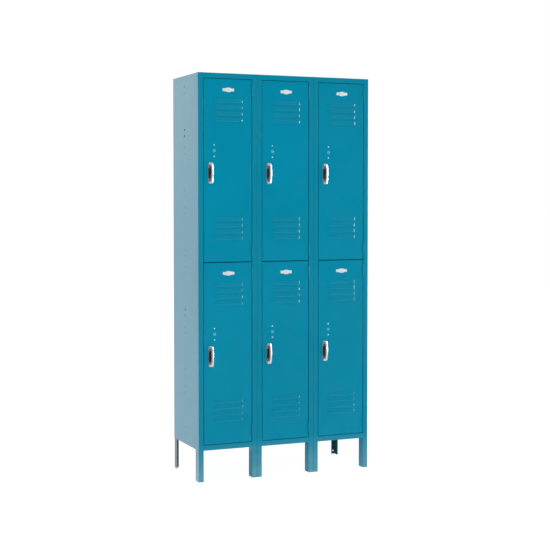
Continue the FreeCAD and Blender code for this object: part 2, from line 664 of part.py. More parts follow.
def handle_bezel():
    """Bowed cover round a finger recess that is open to the front and to the latch side."""
    half_width = HANDLE_WIDTH / 2
    half = HANDLE_HEIGHT / 2
    plate = rounded_plate(HANDLE_WIDTH, HANDLE_HEIGHT, HANDLE_CORNER, 0, -HANDLE_REACH - OVERCUT)
    cover = plate.common(bow(-half_width, half_width, half, HANDLE_END_REACH, HANDLE_REACH, 0))
    rim = [e for e in cover.Edges if e.BoundBox.YMax < -HANDLE_END_REACH + HANDLE_ROUND
           and e.BoundBox.XLength + e.BoundBox.ZLength > HANDLE_ROUND]
    cover = cover.makeFillet(HANDLE_ROUND, rim)
    z = RECESS_HEIGHT / 2
    mouth = block(-half_width - OVERCUT, STRAP_LEFT, -BEZEL_BASE, -HANDLE_REACH - OVERCUT, -z, z)
    pocket = bow(STRAP_LEFT - OVERCUT, half_width - BEZEL_WALL, z, HANDLE_REACH - POCKET_FALL,
                 HANDLE_REACH - BEZEL_WALL, -BEZEL_BASE)
    shackle_way = rod(EYE_RADIUS + OVERCUT, (half_width - 2 * BEZEL_WALL, -EYE_REACH, EYE_RISE),
                      (half_width + OVERCUT, -EYE_REACH, EYE_RISE))
    slot = stem_slot(OVERCUT, -2 * BEZEL_BASE)
    return cover.cut(mouth).cut(pocket).cut(slot).cut(shackle_way)


def lift_handle():
    """Finger lift in the recess with a curled foot and a padlock eye, and a stem through the door."""
    x0 = LIFT_GAP - HANDLE_WIDTH / 2
    x1 = HANDLE_WIDTH / 2 - BEZEL_WALL - LIFT_GAP
    y_back = -BEZEL_BASE - LIFT_STAND
    y_plate = y_back - LIFT_SHEET
    y_brow = LIFT_SHEET - LIFT_REACH
    z_shelf = LIFT_SHELF - LIFT_HALF
    plate = block(x0, x1, y_back, y_plate, -LIFT_HALF, LIFT_HALF)
    shelf = block(x0, x1, y_back, -LIFT_REACH, -LIFT_HALF, z_shelf)
    brow = block(x0, x1, y_brow, -LIFT_REACH, -LIFT_HALF, LIFT_BROW - LIFT_HALF)
    web_x = (x0 + x1) / 2
    half_web = LIFT_SHEET / 2
    y_web = -EYE_REACH - EYE_RADIUS - EYE_WALL
    z_web = EYE_RISE + EYE_RADIUS + EYE_CROWN
    web = block(web_x - half_web, web_x + half_web, y_plate, y_web, z_shelf, z_web)
    eye = rod(EYE_RADIUS, (web_x - LIFT_SHEET, -EYE_REACH, EYE_RISE),
              (web_x + LIFT_SHEET, -EYE_REACH, EYE_RISE))
    stem = block(-STEM_WIDTH / 2, STEM_WIDTH / 2, y_back, BAR_FRONT, -STEM_HEIGHT / 2, STEM_HEIGHT / 2)
    return fused([plate, shelf, brow, web, stem]).cut(eye)


def lock_bar():
    """Flat bar behind the door skin with a finger over each keeper, about the handle's centre."""
    x0 = BAR_X - HANDLE_INSET - BAR_WIDTH / 2
    y0 = BAR_FRONT
    reach = KEEPER_SPREAD + BAR_OVERRUN
    pieces = [block(x0, x0 + BAR_WIDTH, y0, y0 + BAR_SHEET, -reach, reach)]
    x_finger = KEEPER_X + (KEEPER_SHEET - FINGER_WIDTH) / 2 - DOOR_LEFT - HANDLE_INSET
    for way in (-1, 1):
        z = way * KEEPER_SPREAD + KEEPER_HEIGHT / 2 + FINGER_CLEARANCE
        pieces.append(block(x_finger, x0, y0, y0 + BAR_SHEET, z, z + FINGER_HEIGHT))
        pieces.append(block(x_finger, x_finger + FINGER_WIDTH, y0, y0 + FINGER_DEPTH, z, z + FINGER_HEIGHT))
    return fused(pieces)


# ---------------------------------------------------------------- plates, hooks, bumpers, bolts
def number_plate():
    """Blank plate with an oval centre and a riveted tab at each end."""
    strip = rounded_plate(PLATE_LENGTH, PLATE_HEIGHT, PLATE_HEIGHT / 5, 0, -PLATE_SHEET)
    oval = Part.Ellipse(Vec(0, 0, 0), PLATE_OVAL[0] / 2, PLATE_OVAL[1] / 2).toShape()
    oval.rotate(Vec(0, 0, 0), Vec(1, 0, 0), 90)
    centre = Part.Face(Part.Wire([oval])).extrude(Vec(0, -PLATE_SHEET, 0))
    return fused([strip, centre])


def dome(x, z, radius, lift, stand):
    """Domed rivet head or plug that stands on a surface at Y -stand."""
    ball_radius = (radius ** 2 + lift ** 2) / (2 * lift)
    ball = Part.makeSphere(ball_radius, Vec(0, ball_radius - lift, 0))
    cap = ball.common(block(-ball_radius, ball_radius, 0, -2 * lift, -ball_radius, ball_radius))
    return moved(cap, x, -stand, z)


def face_plates():
    """Number plate and lock hole cover with their rivets, at a door's own corner."""
    plate_x = DOOR_WIDTH / 2 + PLATE_SHIFT
    plate_z = DOOR_HEIGHT - PLATE_DROP
    lock_z = DOOR_HEIGHT / 2 - HANDLE_DROP + LOCK_RISE
    solids = [moved(number_plate(), plate_x, 0, plate_z)]
    solids.append(dome(LOCK_INSET, lock_z, LOCK_COVER_RADIUS, PLUG_HEAD, 0))
    for side in (-1, 1):
        x = plate_x + side * PLATE_RIVET_SPACING / 2
        z = lock_z + side * LOCK_RIVET_SPACING / 2
        solids.append(dome(x, plate_z, RIVET_RADIUS, RIVET_HEAD, PLATE_SHEET))
        solids.append(dome(LOCK_INSET, z, LOCK_RIVET_RADIUS, PLUG_HEAD, 0))
    return solids


def wall_hook(x_face, side, z):
    """Single-prong coat hook on a side sheet; side is +1 when it points to +X."""
    y = FRONT + HOLE_SETBACK
    half = HOOK_HOLE_SPACING / 2
    reach = half + HOOK_PLATE
    x_back = x_face + side * HOOK_SHEET
    plate = block(x_face, x_back, y - HOOK_PLATE, y + HOOK_PLATE, z - reach, z + reach)
    for way in (-1, 1):
        z_bolt = z + way * half
        plate = plate.cut(rod(BOLT_RADIUS + BOLT_CLEARANCE, (x_face - side * OVERCUT, y, z_bolt),
                              (x_back + side * OVERCUT, y, z_bolt)))
    root = (x_back - side * HOOK_SHEET / 2, y, z)
    elbow = (x_face + side * WALL_HOOK_ARM[0], y, z + WALL_HOOK_ARM[1])
    tip = (x_face + side * WALL_HOOK_TIP[0], y, z + WALL_HOOK_TIP[1])
    pieces = [plate, rod(HOOK_ROD, root, elbow), Part.makeSphere(HOOK_ROD, Vec(*elbow)),
              rod(HOOK_ROD, elbow, tip), Part.makeSphere(HOOK_BALL, Vec(*tip))]
    behind = block(x_face, x_face - side * HOOK_PLATE, y - HOOK_PLATE, y + HOOK_PLATE, z - reach, z + reach)
    return fused(pieces).cut(behind)


def ceiling_hook(x, z):
    """Double-prong hook that hangs from the sheet above."""
    y = FRONT + HOLE_SETBACK
    plate = block(x - HOOK_PLATE, x + HOOK_PLATE, y - CEILING_PLATE, y + CEILING_PLATE, z - HOOK_SHEET, z)
    fork = (x, y, z - CEILING_STALK)
    pieces = [plate, rod(HOOK_ROD, (x, y, z - HOOK_SHEET / 2), fork), Part.makeSphere(HOOK_ROD, Vec(*fork))]
    for way in (-1, 1):
        elbow = (x, y + way * CEILING_ELBOW[0], z + CEILING_ELBOW[1])
        tip = (x, y + way * CEILING_TIP[0], z + CEILING_TIP[1])
        pieces += [rod(HOOK_ROD, fork, elbow), Part.makeSphere(HOOK_ROD, Vec(*elbow)),
                   rod(HOOK_ROD, elbow, tip), Part.makeSphere(HOOK_BALL, Vec(*tip))]
    return fused(pieces)


def ceiling_height(tier):
    """Underside of the sheet above a compartment."""
    return MID_HEIGHT + TRAY_FLANGE / 2 - BODY_SHEET if tier == 0 else HEIGHT - BODY_SHEET


def sheet_faces(index):
    """X of the left and right faces of side sheet number index, of UNITS + 1."""
    if index == 0:
        x_out = -WIDTH / 2 + FRAME_SHEET
        return x_out, x_out + BODY_SHEET
    if index == UNITS:
        x_out = WIDTH / 2 - FRAME_SHEET
        return x_out - BODY_SHEET, x_out
    x = -WIDTH / 2 + UNIT_WIDTH * index
    return x - BODY_SHEET / 2, x + BODY_SHEET / 2


def coat_hooks():
    """One hook on each side of every compartment, and one under each ceiling."""
    solids = []
    for tier in range(TIERS):
        z = OPENING_FOOT + tier * TIER_PITCH + HOOK_PAIR
        for index in range(UNITS + 1):
            x_left, x_right = sheet_faces(index)
            if index > 0:
                solids.append(wall_hook(x_left, -1, z))
            if index < UNITS:
                solids.append(wall_hook(x_right, 1, z))
        for column in range(UNITS):
            solids.append(ceiling_hook(unit_left(column) + UNIT_WIDTH / 2, ceiling_height(tier)))
    return solids


def bolt_along(start, direction, length, nut):
    """Truss head bolt with its hex nut as a second solid; start is where the head seats."""
    axis = Vec(*direction)
    crown = Vec(*start) - axis * BOLT_HEAD
    head = Part.makeCylinder(BOLT_HEAD_RADIUS, BOLT_HEAD, crown, axis)
    rim = [e for e in head.Edges if (e.CenterOfMass - crown).Length < BOLT_CLEARANCE]
    head = head.makeFillet(BOLT_HEAD * 0.8, rim)
    bolt = fused([head, Part.makeCylinder(BOLT_RADIUS, length, Vec(*start), axis)])
    turns = [math.radians(60 * i) for i in range(7)]
    ring = Part.makePolygon([Vec(NUT_RADIUS * math.cos(a), NUT_RADIUS * math.sin(a), 0) for a in turns])
    hexagon = Part.Face(Part.Wire(ring)).extrude(Vec(0, 0, NUT_HEIGHT))
    hexagon = hexagon.cut(rod(BOLT_RADIUS + PIN_CLEARANCE, (0, 0, -OVERCUT), (0, 0, NUT_HEIGHT + OVERCUT)))
    hexagon.Placement = FreeCAD.Placement(Vec(*start) + axis * nut, FreeCAD.Rotation(Vec(0, 0, 1), axis))
    return [bolt, hexagon]


def hook_bolts():
    """Bolts and nuts of the wall hooks."""
    solids = []
    y = FRONT + HOLE_SETBACK
    for tier in range(TIERS):
        for way in (-1, 1):
            z = OPENING_FOOT + tier * TIER_PITCH + HOOK_PAIR + way * HOOK_HOLE_SPACING / 2
            for index in range(UNITS + 1):
                x_left, x_right = sheet_faces(index)
                inner = index not in (0, UNITS)
                grip = BODY_SHEET + (2 * HOOK_SHEET if inner else HOOK_SHEET)
                x = x_right if index == UNITS else x_left - (HOOK_SHEET if inner else 0)
                direction = (-1, 0, 0) if index == UNITS else (1, 0, 0)
                solids += bolt_along((x, y, z), direction, grip + BOLT_OVERRUN, grip)
    return solids


def bumpers():
    """Rubber buttons on the latch-side stops, one beside each keeper."""
    solids = []
    y = FRONT + STRIKE_SETBACK
    for column in range(UNITS):
        x = unit_left(column) + UPRIGHT_FACE + BUMPER_INSET
        for tier in range(TIERS):
            for way in (-1, 1):
                z = handle_height(tier) + way * BUMPER_SPREAD
                y_face = y - BUMPER_HEIGHT
                button = rod(BUMPER_RADIUS, (x, y, z), (x, y_face, z))
                edge = [e for e in button.Edges if abs(e.BoundBox.YMax - y_face) < TOUCH]
                solids.append(button.makeFillet(BUMPER_HEIGHT / 4, edge))
    return solids


# ---------------------------------------------------------------- the whole cabinet
def build_cabinet():
    """Everything that stands still."""
    write("side_panel_left", [side_panel(-1)])
    write("side_panel_right", [side_panel(1)])
    write("partition_left", [partition(1)])
    write("partition_right", [partition(2)])
    for column, name in enumerate(COLUMN_NAMES):
        write("back_panel_" + name, [back_panel(column)])
        write("tier_shelf_" + name, [tray(column, MID_HEIGHT + TRAY_FLANGE / 2, TRAY_FLANGE)])
        write("bottom_panel_" + name, [bottom_panel(column)])
        write("front_frame_" + name, front_frame(column))
    write("top_panel", [top_panel()])
    write("rear_legs", [rear_leg(-1), rear_leg(1)])
    write("coat_hooks", coat_hooks())
    write("door_bumpers", bumpers())
    write("hook_bolts", hook_bolts())
    write("frame_rivets", leg_rivets() + seam_rivets())


def build_hinges():
    """The frame's leaves and the pins."""
    leaves = []
    pins = []
    for column in range(UNITS):
        for tier in range(TIERS):
            for foot in hinge_feet():
                place = (unit_left(column) + HINGE_X, HINGE_Y, door_foot(tier) + foot)
                leaves.append(moved(hinge_leaf(1, (0, 2, 4)), *place))
                pins.append(moved(hinge_pin(), *place))
    write("hinge_frame_leaves", leaves)
    write("hinge_pins", pins)


def build_doors():
    """Six doors, each with its leaves, plates, bezel, lift and lock bar."""
    pan_solids = door_solids()
    leaf = hinge_leaf(-1, (1, 3))
    plates = face_plates()
    bezel = handle_bezel()
    lift = lift_handle()
    bar = lock_bar()
    for column, column_name in enumerate(COLUMN_NAMES):
        for tier, tier_name in enumerate(TIER_NAMES):
            name = "%s_%s" % (tier_name, column_name)
            corner = (unit_left(column) + DOOR_LEFT, FRONT, door_foot(tier))
            handle = (corner[0] + HANDLE_INSET, FRONT, handle_height(tier))
            axis_x = unit_left(column) + HINGE_X
            write("door_" + name, [moved(s, *corner) for s in pan_solids])
            write("hinge_door_leaves_" + name,
                  [moved(leaf, axis_x, HINGE_Y, door_foot(tier) + foot) for foot in hinge_feet()])
            write("face_plates_" + name, [moved(s, *corner) for s in plates])
            write("handle_bezel_" + name, [moved(bezel, *handle)])
            write("lift_handle_" + name, [moved(lift, *handle)])
            write("lock_bar_" + name, [moved(bar, *handle)])


os.makedirs("parts", exist_ok=True)
build_cabinet()
build_hinges()
build_doors()
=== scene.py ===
import json
import math

import bmesh
import bpy
from mathutils import Euler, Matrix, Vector


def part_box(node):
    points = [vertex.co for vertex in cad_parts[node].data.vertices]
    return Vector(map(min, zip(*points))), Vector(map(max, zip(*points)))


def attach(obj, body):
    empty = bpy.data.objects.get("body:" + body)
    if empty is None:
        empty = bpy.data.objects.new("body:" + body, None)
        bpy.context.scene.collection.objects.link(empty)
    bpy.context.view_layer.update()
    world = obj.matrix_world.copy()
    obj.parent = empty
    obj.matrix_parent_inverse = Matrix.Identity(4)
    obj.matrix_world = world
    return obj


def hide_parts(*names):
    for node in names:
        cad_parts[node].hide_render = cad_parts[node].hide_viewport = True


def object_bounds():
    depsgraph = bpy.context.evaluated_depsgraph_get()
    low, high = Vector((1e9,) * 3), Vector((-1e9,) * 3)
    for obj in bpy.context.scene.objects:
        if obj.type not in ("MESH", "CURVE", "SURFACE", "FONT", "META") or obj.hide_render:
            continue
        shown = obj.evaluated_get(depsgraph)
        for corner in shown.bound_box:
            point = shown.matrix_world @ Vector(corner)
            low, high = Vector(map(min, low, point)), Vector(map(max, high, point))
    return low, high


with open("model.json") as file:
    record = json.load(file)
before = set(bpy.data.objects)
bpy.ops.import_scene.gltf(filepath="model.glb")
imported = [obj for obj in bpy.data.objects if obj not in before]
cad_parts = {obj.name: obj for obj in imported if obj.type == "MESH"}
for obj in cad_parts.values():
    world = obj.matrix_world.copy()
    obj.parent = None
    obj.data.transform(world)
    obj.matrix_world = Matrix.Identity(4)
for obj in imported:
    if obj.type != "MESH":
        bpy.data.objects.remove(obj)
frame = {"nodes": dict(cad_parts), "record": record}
cad_low, cad_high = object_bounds()

MM = 0.001
COLUMNS = ("left", "middle", "right")
TIERS = ("lower", "upper")
LOCKERS = ["%s_%s" % (tier, column) for column in COLUMNS for tier in TIERS]
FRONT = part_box("front_frame_left")[0].y     # the frames' front plane

# ---------------------------------------------------------------- camera
CAMERA_PLACE = Vector((-2.465, -5.886, 1.364))
CAMERA_YAW = -22.975
CAMERA_PITCH = -2.306
LENS = 82.14                # mm, on a 36 mm sensor
SHIFT = (-0.0034, -0.0426)


def add_camera():
    """Camera ahead of the doors and to their left, at breast height."""
    data = bpy.data.cameras.new("camera")
    data.lens = LENS
    data.sensor_width = 36.0
    data.shift_x, data.shift_y = SHIFT
    data.clip_end = 100.0
    camera = bpy.data.objects.new("camera", data)
    camera.location = CAMERA_PLACE
    turn = Euler((math.radians(90 + CAMERA_PITCH), 0, math.radians(CAMERA_YAW)), "XYZ")
    camera.rotation_euler = turn
    bpy.context.scene.collection.objects.link(camera)
    bpy.context.scene.camera = camera


# ---------------------------------------------------------------- studio
# Name, place, target, size (metres), power (watts) and what the light is for
LIGHTS = (
    ("key", (-2.0, -8.5, 5.0), (0, 0, 1.0), (3.0, 2.0), 305, "surfaces"),
    ("right_high_softbox", (3.9, -0.85, 2.1), (0, 0, 1.7), (0.7, 1.6), 95, "reflections"),
    ("right_low_softbox", (3.9, -0.85, 0.5), (0, 0, 0.8), (0.7, 0.8), 45, "reflections"),
)


def add_area(name, place, target, size, power, only):
    """Soft rectangular light that faces a target, for reflections only or for all but reflections."""
    data = bpy.data.lights.new(name, "AREA")
    data.shape = "RECTANGLE"
    data.size, data.size_y = size
    data.energy = power
    light = bpy.data.objects.new(name, data)
    light.location = place
    light.rotation_euler = (Vector(target) - Vector(place)).to_track_quat("-Z", "Y").to_euler()
    light.visible_glossy = only == "reflections"
    light.visible_diffuse = only != "reflections"
    bpy.context.scene.collection.objects.link(light)


# Brightness of the studio seen from the object, by direction. A span is the range of a direction's
# component, between -1 and 1, over which the brightness goes from its first to its last value.
FRONT_LEVEL = 0.05          # everywhere, with the other levels added to it
BACK_LEVEL = 1.85
BACK_SPAN = (0.30, 0.80)
LOW_SHARE = 0.86            # of the back's brightness, below the horizon
LOW_SPAN = (-0.04, 0.09)
HIGH_SHARE = 0.35           # of the back's brightness, high up
HIGH_SPAN = (0.34, 0.14)
RIGHT_LEVEL = 0.9
RIGHT_SPAN = (0.38, 0.76)
STEEP_LEVEL = 0.55          # overhead and underfoot
STEEP_SPAN = (0.42, 0.65)


RANGE_ENDS = ("From Min", "From Max", "To Min", "To Max")     # sockets of a Map Range node


def world_band(tree, value, span, low, high):
    """Brightness that goes from low to high as a direction's component crosses a span."""
    band = tree.nodes.new("ShaderNodeMapRange")
    band.interpolation_type = "SMOOTHSTEP"
    for socket, number in zip(RANGE_ENDS, (*span, low, high)):
        band.inputs[socket].default_value = number
    tree.links.new(value, band.inputs["Value"])
    return band.outputs[0]


def world_math(tree, operation, *values):
    """Math node on sockets or numbers."""
    node = tree.nodes.new("ShaderNodeMath")
    node.operation = operation
    for socket, value in zip(node.inputs, values):
        if isinstance(value, float):
            socket.default_value = value
        else:
            tree.links.new(value, socket)
    return node.outputs[0]


def add_world():
    """Studio surround with a dim front, bright elsewhere, and a white backdrop for the camera."""
    world = bpy.data.worlds.new("studio")
    bpy.context.scene.world = world
    world.use_nodes = True
    tree = world.node_tree
    tree.nodes.clear()
    make = tree.nodes.new
    direction = make("ShaderNodeTexCoord")
    split = make("ShaderNodeSeparateXYZ")
    surround = make("ShaderNodeBackground")
    backdrop = make("ShaderNodeBackground")
    rays = make("ShaderNodeLightPath")
    mix = make("ShaderNodeMixShader")
    out = make("ShaderNodeOutputWorld")
    link = tree.links.new
    link(direction.outputs["Generated"], split.inputs[0])
    back = world_band(tree, split.outputs["Y"], BACK_SPAN, 0, BACK_LEVEL)
    back = world_math(tree, "MULTIPLY", back, world_band(tree, split.outputs["Z"], LOW_SPAN, LOW_SHARE, 1))
    back = world_math(tree, "MULTIPLY", back, world_band(tree, split.outputs["Z"], HIGH_SPAN, HIGH_SHARE, 1))
    right = world_band(tree, split.outputs["X"], RIGHT_SPAN, 0, RIGHT_LEVEL)
    steepness = world_math(tree, "ABSOLUTE", split.outputs["Z"])
    steep = world_band(tree, steepness, STEEP_SPAN, 0, STEEP_LEVEL)
    level = world_math(tree, "MAXIMUM", world_math(tree, "MAXIMUM", back, right), steep)
    link(world_math(tree, "ADD", level, FRONT_LEVEL), surround.inputs["Strength"])
    link(rays.outputs["Is Camera Ray"], mix.inputs[0])
    link(surround.outputs[0], mix.inputs[1])
    link(backdrop.outputs[0], mix.inputs[2])
    link(mix.outputs[0], out.inputs[0])
    for background in (surround, backdrop):
        background.inputs["Color"].default_value = (1, 1, 1, 1)


FLOOR_RADIUS = 14.0
FLOOR_SIDES = 96
FLOOR_DROP = 0.0005         # below the feet
FLOOR_TONE = 0.18
FLOOR_GLOW = 0.92


def add_floor():
    """White floor that shines a little itself; reflections leave it out, as if the studio were dark."""
    data = bpy.data.meshes.new("floor")
    bm = bmesh.new()
    bmesh.ops.create_circle(bm, cap_ends=True, radius=FLOOR_RADIUS, segments=FLOOR_SIDES)
    bm.to_mesh(data)
    bm.free()
    floor = bpy.data.objects.new("floor", data)
    floor.location.z = cad_low.z - FLOOR_DROP
    floor.visible_glossy = False
    bpy.context.scene.collection.objects.link(floor)
    material, shader, nodes, link = new_material("floor_paint")
    patches = noise(nodes, link, 1.5, 3)
    pale = ramp_between(nodes, link, patches, (FLOOR_TONE,) * 3, (FLOOR_TONE + 0.04,) * 3)
    link(pale, shader.inputs["Base Color"])
    shader.inputs["Roughness"].default_value = 0.85
    shader.inputs["Specular IOR Level"].default_value = 0.1
    shader.inputs["Emission Color"].default_value = (1, 1, 1, 1)
    shader.inputs["Emission Strength"].default_value = FLOOR_GLOW
    data.materials.append(material)


# Outline of the shade card; it starts just inside the object's left front corner
SHADE_LEFT = -0.44
SHADE_RIGHT = 1.0
SHADE_FRONT = -0.16
SHADE_BACK = 0.9


def add_floor_shade():
    """Dark card under, behind and to the right of the object, seen by reflections only, as its shadow."""
    data = bpy.data.meshes.new("floor_shade")
    bm = bmesh.new()
    outline = ((SHADE_LEFT, SHADE_FRONT), (SHADE_RIGHT, SHADE_FRONT), (SHADE_RIGHT, SHADE_BACK),
               (SHADE_LEFT, SHADE_BACK))
    bm.faces.new([bm.verts.new((x, y, 0)) for x, y in outline])
    bm.to_mesh(data)
    bm.free()
    card = bpy.data.objects.new("floor_shade", data)
    card.location.z = cad_low.z - FLOOR_DROP / 2
    card.visible_camera = False
    card.visible_diffuse = False
    card.visible_shadow = False
    bpy.context.scene.collection.objects.link(card)
    material, shader, nodes, link = new_material("shade_card")
    grey = ramp_between(nodes, link, noise(nodes, link, 4, 3), (0.03, 0.03, 0.03), (0.05, 0.05, 0.05))
    link(grey, shader.inputs["Base Color"])
    shader.inputs["Roughness"].default_value = 0.9
    data.materials.append(material)


# ---------------------------------------------------------------- material makers
def new_material(name):
    """Material with one Principled shader: (material, shader, node maker, link maker)."""
    material = bpy.data.materials.new(name)
    material.use_nodes = True
    tree = material.node_tree
    return material, tree.nodes["Principled BSDF"], tree.nodes.new, tree.links.new


def noise(nodes, link, scale, detail, stretch=(1, 1, 1), roughness=0.5):
    """Noise in object space; stretch below 1 draws it out along that axis."""
    place = nodes("ShaderNodeTexCoord")
    mapping = nodes("ShaderNodeMapping")
    mapping.inputs["Scale"].default_value = stretch
    texture = nodes("ShaderNodeTexNoise")
    texture.inputs["Scale"].default_value = scale
    texture.inputs["Detail"].default_value = detail
    texture.inputs["Roughness"].default_value = roughness
    link(place.outputs["Object"], mapping.inputs["Vector"])
    link(mapping.outputs["Vector"], texture.inputs["Vector"])
    return texture.outputs["Fac"]


def ramp_between(nodes, link, value, low, high, start=0.35, end=0.65):
    """Colour from low to high as a value goes from start to end."""
    ramp = nodes("ShaderNodeValToRGB")
    stops = ramp.color_ramp.elements
    stops[0].position, stops[0].color = start, (*low, 1)
    stops[1].position, stops[1].color = end, (*high, 1)
    link(value, ramp.inputs[0])
    return ramp.outputs[0]


def spread(nodes, link, value, low, high, start=0.35, end=0.65):
    """Number from low to high as a value goes from start to end."""
    remap = nodes("ShaderNodeMapRange")
    for socket, number in zip(RANGE_ENDS, (start, end, low, high)):
        remap.inputs[socket].default_value = number
    link(value, remap.inputs["Value"])
    return remap.outputs[0]


def mixed(nodes, link, factor, first, second):
    """Colour mix of two sockets or colours."""
    mix = nodes("ShaderNodeMix")
    mix.data_type = "RGBA"
    link(factor, mix.inputs["Factor"])
    for socket, value in ((mix.inputs["A"], first), (mix.inputs["B"], second)):
        if isinstance(value, tuple):
            socket.default_value = (*value, 1)
        else:
            link(value, socket)
    return mix.outputs["Result"]


def times(nodes, link, first, second):
    """Product of two sockets."""
    product = nodes("ShaderNodeMath")
    product.operation = "MULTIPLY"
    link(first, product.inputs[0])
    link(second, product.inputs[1])
    return product.outputs[0]


def bump(nodes, link, height, strength, distance, under=None):
    """Bump from a height socket, on top of another bump."""
    node = nodes("ShaderNodeBump")
    node.inputs["Strength"].default_value = strength
    node.inputs["Distance"].default_value = distance
    link(height, node.inputs["Height"])
    if under is not None:
        link(under, node.inputs["Normal"])
    return node.outputs["Normal"]


def edge_mask(nodes, link, radius):
    """1 along sharp edges, 0 on flats: how far a rounded normal turns from the true one."""
    rounded = nodes("ShaderNodeBevel")
    rounded.samples = 4
    rounded.inputs["Radius"].default_value = radius
    true = nodes("ShaderNodeNewGeometry")
    dot = nodes("ShaderNodeVectorMath")
    dot.operation = "DOT_PRODUCT"
    link(rounded.outputs["Normal"], dot.inputs[0])
    link(true.outputs["Normal"], dot.inputs[1])
    return spread(nodes, link, dot.outputs["Value"], 1.0, 0.0, 0.80, 0.985)


SCUFF_TOP = 0.32            # metres above the floor
DUST_TOP = 0.19


def fading_up(nodes, link, amount, top):
    """Number that falls from an amount at the floor to 0 at a height."""
    place = nodes("ShaderNodeTexCoord")
    split = nodes("ShaderNodeSeparateXYZ")
    link(place.outputs["Object"], split.inputs[0])
    return spread(nodes, link, split.outputs["Z"], amount, 0.0, 0.0, top)


def low_scuffs(nodes, link):
    """Mask of small marks that thin out from the floor to knee height."""
    marks = spread(nodes, link, noise(nodes, link, 60, 6, (1, 1, 0.25), 0.7), 0.0, 1.0, 0.60, 0.66)
    return times(nodes, link, fading_up(nodes, link, 1.0, SCUFF_TOP), marks)


def floor_dust(nodes, link, amount):
    """Uneven share of dust, from an amount at the floor to none above the legs."""
    unevenness = spread(nodes, link, noise(nodes, link, 30, 5), 0.7, 1.0)
    return times(nodes, link, fading_up(nodes, link, amount, DUST_TOP), unevenness)


DUST_COLOUR = (0.36, 0.52, 0.55)


def enamel(name, colour, wear=0.5, coat=0.1, dust=0.0):
    """Baked enamel on sheet steel: orange peel, slight waves, tone drift, worn edges, scuffs and dust."""
    material, shader, nodes, link = new_material(name)
    deep = tuple(channel * 0.97 for channel in colour)
    pale = tuple(channel * 1.03 for channel in colour)
    drift = ramp_between(nodes, link, noise(nodes, link, 2.2, 3), deep, pale)
    rubbing = spread(nodes, link, noise(nodes, link, 45, 5), 0.1, wear, 0.42, 0.62)
    worn = times(nodes, link, edge_mask(nodes, link, 1.2 * MM), rubbing)
    rubbed = tuple(channel * 1.2 + 0.04 for channel in colour)
    toned = mixed(nodes, link, worn, drift, rubbed)
    scuff = tuple(channel * 0.6 + 0.03 for channel in colour)
    scuffed = mixed(nodes, link, low_scuffs(nodes, link), toned, scuff)
    dusted = mixed(nodes, link, floor_dust(nodes, link, dust), scuffed, DUST_COLOUR)
    link(dusted, shader.inputs["Base Color"])
    link(spread(nodes, link, noise(nodes, link, 14, 5), 0.16, 0.24), shader.inputs["Roughness"])
    waves = bump(nodes, link, noise(nodes, link, 5.0, 1, (1, 1, 0.6)), 0.10, 0.8 * MM)
    peel = bump(nodes, link, noise(nodes, link, 520, 2), 0.10, 0.10 * MM, waves)
    link(peel, shader.inputs["Normal"])
    link(peel, shader.inputs["Coat Normal"])
    shader.inputs["IOR"].default_value = 1.26
    shader.inputs["Coat Weight"].default_value = coat
    shader.inputs["Coat Roughness"].default_value = 0.08
    return material


def chrome(name, shade=1.0):
    """Chrome plate with fingerprints and fine rubbed lines; a lower shade darkens it, as painted shade."""
    material, shader, nodes, link = new_material(name)
    dull = (0.78 * shade, 0.79 * shade, 0.82 * shade)
    bright = (0.88 * shade, 0.89 * shade, 0.92 * shade)
    tone = ramp_between(nodes, link, noise(nodes, link, 60, 4), dull, bright)
    link(tone, shader.inputs["Base Color"])
    shader.inputs["Metallic"].default_value = 0.76
    link(spread(nodes, link, noise(nodes, link, 120, 5), 0.09, 0.20), shader.inputs["Roughness"])
    lines = noise(nodes, link, 900, 2, (1, 1, 0.06))
    link(bump(nodes, link, lines, 0.06, 0.05 * MM), shader.inputs["Normal"])
    return material


def satin_metal(name, low, high):
    """Brushed light metal: fine lines across the door, with a slight drift in gloss."""
    material, shader, nodes, link = new_material(name)
    lines = noise(nodes, link, 1400, 3, (0.05, 1, 1))
    link(ramp_between(nodes, link, lines, low, high), shader.inputs["Base Color"])
    shader.inputs["Metallic"].default_value = 0.25
    link(spread(nodes, link, noise(nodes, link, 90, 4), 0.28, 0.42), shader.inputs["Roughness"])
    link(bump(nodes, link, lines, 0.15, 0.04 * MM), shader.inputs["Normal"])
    return material


def zinc(name, shade=1.0):
    """Zinc-plated steel: crystal patches with their own tone and gloss; a lower shade is darker."""
    material, shader, nodes, link = new_material(name)
    place = nodes("ShaderNodeTexCoord")
    crystals = nodes("ShaderNodeTexVoronoi")
    crystals.inputs["Scale"].default_value = 220
    link(place.outputs["Object"], crystals.inputs["Vector"])
    patch = nodes("ShaderNodeSeparateColor")
    link(crystals.outputs["Color"], patch.inputs[0])
    dull = (0.42 * shade, 0.44 * shade, 0.47 * shade)
    bright = (0.62 * shade, 0.64 * shade, 0.67 * shade)
    tone = ramp_between(nodes, link, patch.outputs[0], dull, bright, 0.0, 1.0)
    link(tone, shader.inputs["Base Color"])
    shader.inputs["Metallic"].default_value = 1.0
    link(spread(nodes, link, patch.outputs[1], 0.28, 0.48, 0.0, 1.0), shader.inputs["Roughness"])
    link(bump(nodes, link, noise(nodes, link, 700, 3), 0.1, 0.05 * MM), shader.inputs["Normal"])
    return material


def rubber(name):
    """Matte black rubber with a fine moulded grain."""
    material, shader, nodes, link = new_material(name)
    grain = noise(nodes, link, 1500, 3)
    black = ramp_between(nodes, link, grain, (0.012, 0.012, 0.013), (0.03, 0.03, 0.032))
    link(black, shader.inputs["Base Color"])
    link(spread(nodes, link, noise(nodes, link, 200, 3), 0.6, 0.8), shader.inputs["Roughness"])
    link(bump(nodes, link, grain, 0.3, 0.08 * MM), shader.inputs["Normal"])
    return material


# ---------------------------------------------------------------- mesh makers
SHARP = math.radians(38)    # edges that turn more than this are drawn sharp


